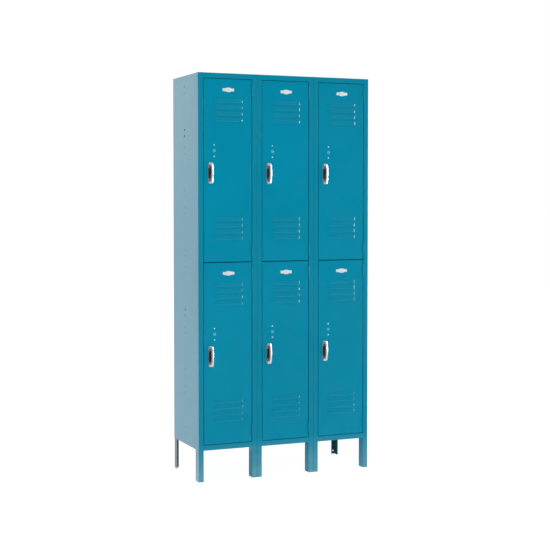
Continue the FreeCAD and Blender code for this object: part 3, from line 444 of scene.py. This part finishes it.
def add_piece(name, bm, material, body, replaced=()):
    """Object from a bmesh, with sharp edges kept, that rides on a body."""
    bmesh.ops.recalc_face_normals(bm, faces=bm.faces)
    finish_shading(bm)
    data = bpy.data.meshes.new(name)
    bm.to_mesh(data)
    bm.free()
    data.materials.append(material)
    piece = bpy.data.objects.new(name, data)
    bpy.context.scene.collection.objects.link(piece)
    piece.modifiers.new("flat_faces_stay_flat", "WEIGHTED_NORMAL").keep_sharp = True
    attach(piece, body)
    if replaced:
        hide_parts(*replaced)
    return piece


def finish_shading(bm):
    """Smooth faces with sharp edges where two faces meet at a clear angle."""
    for face in bm.faces:
        face.smooth = True
    for edge in bm.edges:
        if len(edge.link_faces) == 2:
            edge.smooth = edge.calc_face_angle(0) < SHARP


def thickened(bm, thickness):
    """Closed sheet from an open surface whose normals point outward."""
    data = bpy.data.meshes.new("sheet")
    bm.to_mesh(data)
    bm.free()
    piece = bpy.data.objects.new("sheet", data)
    bpy.context.scene.collection.objects.link(piece)
    solid = piece.modifiers.new("thickness", "SOLIDIFY")
    solid.thickness = thickness
    solid.offset = -1
    bpy.context.view_layer.update()
    shaped = piece.evaluated_get(bpy.context.evaluated_depsgraph_get()).to_mesh()
    result = bmesh.new()
    result.from_mesh(shaped)
    bpy.data.objects.remove(piece)
    bpy.data.meshes.remove(data)
    return result


def join(bm, other):
    """Add another bmesh's shapes to this one."""
    data = bpy.data.meshes.new("joined")
    other.to_mesh(data)
    other.free()
    bm.from_mesh(data)
    bpy.data.meshes.remove(data)


def steps(start, end, count):
    """Evenly spaced values from start to end."""
    return [start + (end - start) * i / count for i in range(count + 1)]


def grid_faces(bm, grid, keep=None):
    """Faces between the points of a grid, left out where keep says no."""
    for i, j in grid:
        if (i + 1, j + 1) in grid:
            corners = (grid[i, j], grid[i + 1, j], grid[i + 1, j + 1], grid[i, j + 1])
            if keep is None or keep((corners[0].co + corners[2].co) / 2):
                bm.faces.new(corners)


def turn_faces(bm, sample, way):
    """Turn an open sheet's faces so that a sample face looks back (1) or ahead (-1)."""
    bmesh.ops.recalc_face_normals(bm, faces=bm.faces)
    if sample.normal.y * way < 0:
        bmesh.ops.reverse_faces(bm, faces=bm.faces)


def largest_face(bm):
    """The face with the most area."""
    return max(bm.faces, key=lambda face: face.calc_area())


# ---------------------------------------------------------------- doors
SHEET = 1.5 * MM
BEND = 1.2 * MM
DOOR_DEPTH = 20.0 * MM
DOOR_LIP = 12.0 * MM
LOUVRE_HALF = 78.0 * MM
LOUVRE_LEFT_END = 24.0 * MM  # length of a hood's slope at its end
LOUVRE_RIGHT_END = 7.5 * MM
LOUVRE_HEIGHT = 15.0 * MM
LOUVRE_FADE = 4.0 * MM       # how far above its head a hood starts to rise
LOUVRE_DEPTH = 4.2 * MM
LOUVRE_FOOT = 0.45           # share of its depth that a hood keeps at its open foot
LOUVRE_PITCH = 30.5 * MM
LOUVRES = 4
LOUVRE_TOP = 108.0 * MM      # door's top to the middle of the highest louvre
LOUVRE_BOTTOM = 114.0 * MM   # door's foot to the middle of the lowest louvre
END_CURVE = 1.3              # power that rounds a hood's slope into its flat
LEAST_TEAR = 0.001 * MM      # a hood that stands out less than this at its foot isn't torn
HOOD_ROWS = 9
HOOD_COLUMNS = 8             # in each slope and between them
BEND_STEPS = 4
STEM_WIDTH = 4.0 * MM        # of the lift, where it passes through the door
STEM_HEIGHT = 30.0 * MM
SLOT_ROOM = 1.5 * MM
LIFT_TRAVEL = 12.0 * MM


def door_columns(x0, x1, slot):
    """X of the door skin's grid lines: beside the lift's slot, and close together at the louvres' ends."""
    middle = (x0 + x1) / 2
    left = steps(middle - LOUVRE_HALF, middle - LOUVRE_HALF + LOUVRE_LEFT_END, HOOD_COLUMNS)
    right = steps(middle + LOUVRE_HALF - LOUVRE_RIGHT_END, middle + LOUVRE_HALF, HOOD_COLUMNS)
    span = steps(left[-1], right[0], HOOD_COLUMNS)[1:-1]
    return [x0, slot[0].x, slot[1].x] + left + span + right + steps(right[-1], x1, 3)[1:]


def louvre_feet(z0, z1):
    """Heights of the louvres' open feet on a door that runs from z0 to z1."""
    low = [z0 + LOUVRE_BOTTOM + LOUVRE_PITCH * i for i in range(LOUVRES)]
    high = sorted(z1 - LOUVRE_TOP - LOUVRE_PITCH * i for i in range(LOUVRES))
    return [z - LOUVRE_HEIGHT / 2 for z in low + high]


def hood_height(x, middle, way_down):
    """How far a louvre stands out: a soft bulge with sloped ends that is cut off at its open foot."""
    slope = LOUVRE_LEFT_END if x < middle else LOUVRE_RIGHT_END
    past = max(0.0, abs(x - middle) - (LOUVRE_HALF - slope)) / slope
    bulge = math.sin((math.pi - math.asin(LOUVRE_FOOT)) * way_down)
    return LOUVRE_DEPTH * max(0.0, 1 - past ** END_CURVE) * bulge


def stem_slot(centre):
    """Corners of the slot in the door for the lift's stem, with its travel."""
    reach = Vector((STEM_WIDTH / 2 + SLOT_ROOM, 0, STEM_HEIGHT / 2 + SLOT_ROOM))
    return centre - reach, centre + reach + Vector((0, 0, LIFT_TRAVEL))


def door_rows(z0, z1, slot):
    """Door skin's grid lines: (height, share of the way from a louvre's head to its foot, or None)."""
    rows = [(z0, None)]
    rise = LOUVRE_HEIGHT + LOUVRE_FADE
    for foot in louvre_feet(z0 - BEND, z1 + BEND):
        past_slot = rows[-1][0] < slot[0].z < foot
        between = [slot[0].z, slot[1].z] if past_slot else steps(rows[-1][0], foot, 2)[1:-1]
        rows += [(z, None) for z in between]
        rows += [(foot + rise * k / HOOD_ROWS, 1 - k / HOOD_ROWS) for k in range(HOOD_ROWS)]
        rows.append((foot + rise, None))
    return rows + [(z, None) for z in steps(rows[-1][0], z1, 2)[1:]]


def door_face(bm, columns, rows, middle, slot):
    """Skin of the door with its louvres and the lift's slot; returns the grid's points behind the tears."""
    flat, hood = {}, {}
    for j, (z, way_down) in enumerate(rows):
        for i, x in enumerate(columns):
            out = 0.0 if way_down is None else hood_height(x, middle, way_down)
            torn = way_down == 1 and out > LEAST_TEAR
            flat[i, j] = bm.verts.new((x, FRONT - (0 if torn else out), z))
            hood[i, j] = bm.verts.new((x, FRONT - out, z)) if torn else flat[i, j]
    for j in range(len(rows) - 1):
        for i in range(len(columns) - 1):
            corners = (hood[i, j], hood[i + 1, j], flat[i + 1, j + 1], flat[i, j + 1])
            centre = (corners[0].co + corners[2].co) / 2
            if not (slot[0].x < centre.x < slot[1].x and slot[0].z < centre.z < slot[1].z):
                bm.faces.new(corners)
    return flat


def flange_profile():
    """Outward reach and depth of the points round the door's edge, from the skin to the lip's end."""
    angles = steps(0, math.pi / 2, BEND_STEPS)
    front_bend = [(BEND * math.sin(angle), BEND * (1 - math.cos(angle))) for angle in angles[1:]]
    lip_bend = [(BEND * math.cos(angle), DOOR_DEPTH - BEND * (1 - math.sin(angle))) for angle in angles]
    return front_bend + lip_bend + [(BEND - DOOR_LIP, DOOR_DEPTH)]


def bend_edges(bm, flat):
    """Flanges and return lips round the skin."""
    last_i, last_j = max(flat)
    rim = [(i, 0) for i in range(last_i)] + [(last_i, j) for j in range(last_j)]
    rim += [(i, last_j) for i in range(last_i, 0, -1)] + [(0, j) for j in range(last_j, 0, -1)]
    ring = [flat[key] for key in rim]
    for reach, depth in flange_profile():
        following = []
        for i, j in rim:
            start = flat[i, j].co
            side = (i == last_i) - (i == 0)
            rise = (j == last_j) - (j == 0)
            place = (start.x + side * reach, FRONT + depth, start.z + rise * reach)
            following.append(bm.verts.new(place))
        for k in range(len(ring)):
            n = (k + 1) % len(ring)
            bm.faces.new((ring[k], following[k], following[n], ring[n]))
        ring = following


def door_skin(low, high, slot):
    """Door pan as one bent sheet: skin with louvres torn open at their feet, flanges and return lips."""
    bm = bmesh.new()
    columns = door_columns(low.x + BEND, high.x - BEND, slot)
    rows = door_rows(low.z + BEND, high.z - BEND, slot)
    bend_edges(bm, door_face(bm, columns, rows, (low.x + high.x) / 2, slot))
    turn_faces(bm, largest_face(bm), -1)
    return thickened(bm, SHEET)


GUIDE_SHEET = 1.5 * MM
GUIDE_ROOM = 0.6 * MM
GUIDE_TAB = 4.0 * MM
GUIDE_HALF = 9.0 * MM
GUIDE_RISES = (-250.0 * MM, 100.0 * MM, 250.0 * MM)     # above the handle's middle
BAR_WIDTH = 16.0 * MM
BAR_SHEET = 2.5 * MM


def add_guides(bm, bar_low, bar_high, handle_z):
    """Saddles on the back of the door's skin that hold the lock bar, as bent strips."""
    y_skin = FRONT + SHEET + GUIDE_SHEET
    y_top = bar_low.y + BAR_SHEET + GUIDE_ROOM + GUIDE_SHEET
    x0 = bar_high.x - BAR_WIDTH - GUIDE_ROOM - GUIDE_SHEET
    x1 = bar_high.x + GUIDE_ROOM + GUIDE_SHEET
    outline = ((x0 - GUIDE_TAB, y_skin), (x0, y_skin), (x0, y_top), (x1, y_top), (x1, y_skin),
               (x1 + GUIDE_TAB, y_skin))
    strips = bmesh.new()
    for rise in GUIDE_RISES:
        ends = [[strips.verts.new((x, y, handle_z + rise + side * GUIDE_HALF)) for x, y in outline]
                for side in (-1, 1)]
        for k in range(len(outline) - 1):
            strips.faces.new((ends[0][k], ends[1][k], ends[1][k + 1], ends[0][k + 1]))
    turn_faces(strips, max(strips.faces, key=lambda face: face.calc_center_median().y), 1)
    join(bm, thickened(strips, GUIDE_SHEET))


def handle_middle(locker):
    """Middle of a locker's handle cover."""
    low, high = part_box("handle_bezel_" + locker)
    return (low + high) / 2


def add_doors(paint):
    """The six doors: bent skins with the lock bar's guides."""
    for locker in LOCKERS:
        node = "door_" + locker
        middle = handle_middle(locker)
        bm = door_skin(*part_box(node), stem_slot(middle))
        add_guides(bm, *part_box("lock_bar_" + locker), middle.z)
        add_piece("door_skin_" + locker, bm, paint, locker + "_door", [node])


# ---------------------------------------------------------------- number plates and lock plugs
PLATE_DROP = 52.0 * MM      # door's top to the plate's middle
PLATE_SHIFT = 3.5 * MM      # to the right of the door's middle
PLATE_HALF = 30.0 * MM
PLATE_TAB_HALF = 7.0 * MM
PLATE_CORNER = 2.8 * MM
PLATE_SHEET = 0.9 * MM
OVAL_HALF = 20.0 * MM
OVAL_RISE = 11.0 * MM
OVAL_BULGE = 0.9 * MM
BULGE_SHARE = (0.86, 0.80)  # of the oval's half width and half height, inside which it is raised
BULGE_STEEPNESS = 4
PLATE_COLUMNS = 48
PLATE_ROWS = 14
PLATE_END_SHARES = (0.06, 0.25)     # places of more grid lines across the corners
PLATE_RIVET = 24.5 * MM
RIVET_RADIUS = 2.0 * MM
RIVET_STAND = 1.0 * MM
LOCK_INSET = 54.0 * MM      # door's left edge to the lock hole
LOCK_RISE = 108.0 * MM      # handle's middle to the lock hole
LOCK_SPACING = 55.0 * MM
LOCK_RADIUS = 8.0 * MM
LOCK_STAND = 1.5 * MM
LOCK_RIVET_RADIUS = 3.3 * MM
DOME_RIM = 0.15             # share of a domed head's height in the step round its rim
DOME_STEPS = 7
TURNS = 28                  # steps round a turned piece


def turned(bm, x, z, profile):
    """Round piece whose axis points out of the door: profile is (radius, distance ahead of the front)."""
    rings = []
    for radius, ahead in profile:
        angles = [2 * math.pi * k / TURNS for k in range(TURNS if radius else 1)]
        places = [(x + radius * math.cos(angle), z + radius * math.sin(angle)) for angle in angles]
        rings.append([bm.verts.new((across, FRONT - ahead, up)) for across, up in places])
    for ring, following in zip(rings, rings[1:]):
        for k in range(TURNS):
            n = (k + 1) % TURNS
            near = [ring[k % len(ring)], following[k % len(following)]]
            far = [following[n % len(following)], ring[n % len(ring)]]
            bm.faces.new(list(dict.fromkeys(near + far)))


def dome(radius, stand, base=0.0):
    """Profile of a domed head with a small step round its rim."""
    rim = DOME_RIM * stand
    arc = [(radius * math.sin(angle), base + rim + (stand - rim) * math.cos(angle))
           for angle in steps(0, math.pi / 2, DOME_STEPS)]
    return [(0, arc[0][1])] + arc[1:] + [(radius, base), (0, base)]


def plate_half_height(x):
    """Half the number plate's height at a distance from its middle."""
    past = max(0.0, abs(x) - PLATE_HALF + PLATE_CORNER)
    tab = PLATE_TAB_HALF - PLATE_CORNER + math.sqrt(max(0.0, PLATE_CORNER ** 2 - past ** 2))
    oval = OVAL_RISE * math.sqrt(max(0.0, 1 - (x / OVAL_HALF) ** 2))
    return max(tab, oval)


def number_plate(x_middle, z_middle):
    """Blank stamped plate with a raised oval centre and a riveted tab at each end."""
    bm = bmesh.new()
    near_ends = [PLATE_HALF - PLATE_CORNER * share for share in PLATE_END_SHARES]
    columns = steps(-PLATE_HALF, PLATE_HALF, PLATE_COLUMNS) + near_ends + [-x for x in near_ends]
    bulge_half, bulge_rise = OVAL_HALF * BULGE_SHARE[0], OVAL_RISE * BULGE_SHARE[1]
    grid = {}
    for i, x in enumerate(sorted(columns)):
        for j, row in enumerate(steps(-1, 1, PLATE_ROWS)):
            z = row * plate_half_height(x)
            inside = 1 - (x / bulge_half) ** 2 - (z / bulge_rise) ** 2
            lift = OVAL_BULGE * min(1.0, max(0.0, inside * BULGE_STEEPNESS))
            grid[i, j] = bm.verts.new((x_middle + x, FRONT - PLATE_SHEET - lift, z_middle + z))
    grid_faces(bm, grid)
    turn_faces(bm, largest_face(bm), -1)
    bm = thickened(bm, PLATE_SHEET)
    for side in (-1, 1):
        turned(bm, x_middle + side * PLATE_RIVET, z_middle, dome(RIVET_RADIUS, RIVET_STAND, PLATE_SHEET))
    return bm


def lock_plug(x, z):
    """Plug for the lock hole: a domed head ahead of the door's skin and a clinched rim behind it."""
    bm = bmesh.new()
    turned(bm, x, z, dome(LOCK_RADIUS, LOCK_STAND))
    clinched_rim = ((0, 0), (1, 0), (0.9, 1), (0.7, 1), (0.6, 0.4), (0, 0.4))
    turned(bm, x, z, [(LOCK_RADIUS * out, -SHEET - LOCK_STAND * back) for out, back in clinched_rim])
    return bm


def lock_rivets(x, z):
    """Domed rivets above and below the lock hole."""
    bm = bmesh.new()
    for side in (-1, 1):
        turned(bm, x, z + side * LOCK_SPACING / 2, dome(LOCK_RIVET_RADIUS, LOCK_STAND))
    return bm


def add_plates(bright, tinted, paint):
    """Each door's number plate, with the lock hole's rivets and plug."""
    for locker in LOCKERS:
        low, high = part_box("door_" + locker)
        body = locker + "_door"
        plate = number_plate((low.x + high.x) / 2 + PLATE_SHIFT, high.z - PLATE_DROP)
        add_piece("number_plate_" + locker, plate, bright, body, ["face_plates_" + locker])
        lock_place = (low.x + LOCK_INSET, handle_middle(locker).z + LOCK_RISE)
        add_piece("lock_rivets_" + locker, lock_rivets(*lock_place), tinted, body)
        add_piece("lock_plug_" + locker, lock_plug(*lock_place), paint, body)


# ---------------------------------------------------------------- handle covers
CASE_END_REACH = 9.0 * MM
CASE_CORNER = 7.0 * MM
CASE_RIM = 3.0 * MM
RIM_SHARES = (0, 0.02, 0.08, 0.2, 0.4, 0.7, 1)      # places of the grid lines across the rim
CASE_SHEET = 1.2 * MM
CASE_CROWN = 5.0 * MM       # how far the strap's right edge falls back
LEFT_CROWN = 1.5 * MM       # the same for the cover's left edge
STRAP_EDGE = -3.0 * MM      # strap's left edge, from the cover's middle
POCKET_HALF = 38.0 * MM
CASE_BASE = 1.5 * MM
CORNER_SHARES = (0.6, 0.8, 1)       # places of the grid lines across a corner
STRAP_COLUMNS = 8
RECESS_COLUMNS = 4
POCKET_ROWS = 16
WALL_COLUMNS = 10


def rounded_edge(distance):
    """Share of the full reach at a distance inside the cover's outline."""
    share = min(1.0, max(0.0, distance / CASE_RIM))
    return math.sqrt(1 - (1 - share) ** 2)


def case_reach(x, z, half_width, half_height, reach):
    """How far the cover stands ahead of the door at a place from its centre."""
    bow = CASE_END_REACH + (reach - CASE_END_REACH) * (1 - (z / half_height) ** 2)
    across = (x - STRAP_EDGE) / (half_width - STRAP_EDGE)
    crown = CASE_CROWN * across ** 3 if across > 0 else LEFT_CROWN * across ** 2
    return bow - crown


def edge_steps(half):
    """Distances from -half to half, close together at both ends."""
    near = [half - CASE_RIM * share for share in RIM_SHARES]
    return [-distance for distance in near] + near[::-1]


def case_shell(centre, half_width, half_height, reach):
    """Bowed and crowned cover with rounded corners, open over the recess on its left."""
    bm = bmesh.new()
    strap = steps(STRAP_EDGE, half_width - CASE_RIM, STRAP_COLUMNS)[:-1]
    recess = steps(CASE_RIM - half_width, STRAP_EDGE, RECESS_COLUMNS)[1:-1]
    corner_rows = [half_height - CASE_CORNER * share for share in CORNER_SHARES]
    rows = edge_steps(half_height) + steps(-POCKET_HALF, POCKET_HALF, POCKET_ROWS)
    rows += corner_rows + [-z for z in corner_rows]
    grid = {}
    for j, z in enumerate(sorted(rows)):
        past = max(0.0, abs(z) - half_height + CASE_CORNER)
        corner = CASE_CORNER - math.sqrt(CASE_CORNER ** 2 - past ** 2)
        squeeze = (half_width - corner) / half_width
        for i, x in enumerate(sorted(edge_steps(half_width) + strap + recess)):
            edge = rounded_edge(half_width - abs(x)) * rounded_edge(half_height - abs(z))
            ahead = edge * case_reach(x, z, half_width, half_height, reach)
            grid[i, j] = bm.verts.new((centre.x + x * squeeze, FRONT - ahead, centre.z + z))
    mouth = centre.x + STRAP_EDGE
    grid_faces(bm, grid, lambda place: place.x > mouth or abs(place.z - centre.z) > POCKET_HALF)
    turn_faces(bm, largest_face(bm), -1)
    return thickened(bm, CASE_SHEET)


def case_walls(centre, half_width, half_height, reach):
    """Walls above and below the recess."""
    bm = bmesh.new()
    for z in (-POCKET_HALF, POCKET_HALF):
        grid = {}
        for i, x in enumerate(steps(CASE_SHEET - half_width, half_width - CASE_RIM, WALL_COLUMNS)):
            edge = rounded_edge(half_width - abs(x))
            front = edge * case_reach(x, z, half_width, half_height, reach) - CASE_SHEET / 2
            for j, ahead in enumerate((CASE_BASE, max(front, 2 * CASE_BASE))):
                grid[i, j] = bm.verts.new((centre.x + x, FRONT - ahead, centre.z + z))
        grid_faces(bm, grid)
    return thickened(bm, CASE_SHEET)


def case_base(centre, half_width):
    """Base plate of the recess, with the slot for the lift's stem."""
    bm = bmesh.new()
    low, high = stem_slot(centre)
    wall = POCKET_HALF + CASE_SHEET
    grid = {}
    for i, x in enumerate((centre.x - half_width, low.x, high.x, centre.x + half_width - CASE_RIM)):
        for j, z in enumerate((centre.z - wall, low.z, high.z, centre.z + wall)):
            grid[i, j] = bm.verts.new((x, FRONT - CASE_BASE, z))
    grid_faces(bm, grid, lambda place: not (low.x < place.x < high.x and low.z < place.z < high.z))
    turn_faces(bm, largest_face(bm), -1)
    return thickened(bm, CASE_BASE)


def handle_case(centre, half_width, half_height, reach):
    """Pressed cover with a recess open to the latch side, on a base plate."""
    bm = case_shell(centre, half_width, half_height, reach)
    join(bm, case_walls(centre, half_width, half_height, reach))
    join(bm, case_base(centre, half_width))
    return bm


def add_handles(metal):
    """The six handle covers."""
    for locker in LOCKERS:
        node = "handle_bezel_" + locker
        low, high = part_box(node)
        half = (high - low) / 2
        bm = handle_case(handle_middle(locker), half.x, half.z, FRONT - low.y)
        add_piece("handle_case_" + locker, bm, metal, locker + "_door", [node])


# ---------------------------------------------------------------- the whole scene
door_paint = enamel("door_enamel", (0.0, 0.248, 0.386))
finishes = {
    "door_paint": door_paint,
    "frame_paint": enamel("frame_enamel", (0.002, 0.238, 0.365), dust=0.36),
    "body_paint": enamel("body_enamel", (0.006, 0.250, 0.380)),
    "chrome": chrome("chrome_plate"),
    "bright_plate": satin_metal("plate_aluminium", (0.78, 0.84, 0.86), (0.90, 0.95, 0.96)),
    "zinc": zinc("zinc_plate"),
    "rubber": rubber("bumper_rubber"),
}
for part in frame["record"]["subparts"]:
    piece = frame["nodes"][part["node"]]
    piece.data.materials.clear()
    piece.data.materials.append(finishes[part["material_slot"]])
# The lifts get a darkened chrome: painted shade inside the handle covers' recesses.
recess_shade_chrome = chrome("recess_shade_chrome", 0.16)
for locker in LOCKERS:
    frame["nodes"]["lift_handle_" + locker].data.materials[0] = recess_shade_chrome
# The rear legs get an enamel darker than the body's: painted shade from under the cabinet.
frame["nodes"]["rear_legs"].data.materials[0] = enamel("rear_leg_painted_shade_enamel", (0.020, 0.085, 0.11), wear=0.6)
# The hook bolts' zinc is darkened so that their heads show as dark dots: painted shade of the holes.
frame["nodes"]["hook_bolts"].data.materials[0] = zinc("zinc_painted_hole_shade", 0.22)
add_doors(door_paint)
tinted_metal = satin_metal("tinted_rivets", (0.42, 0.74, 0.80), (0.55, 0.86, 0.90))
lock_paint = enamel("lock_enamel", (0.05, 0.42, 0.60), coat=0.8)
add_plates(finishes["bright_plate"], tinted_metal, lock_paint)
add_handles(finishes["chrome"])

bpy.context.scene.view_settings.view_transform = "Standard"
add_camera()
add_world()
add_floor()
add_floor_shade()
for light in LIGHTS:
    add_area(*light)
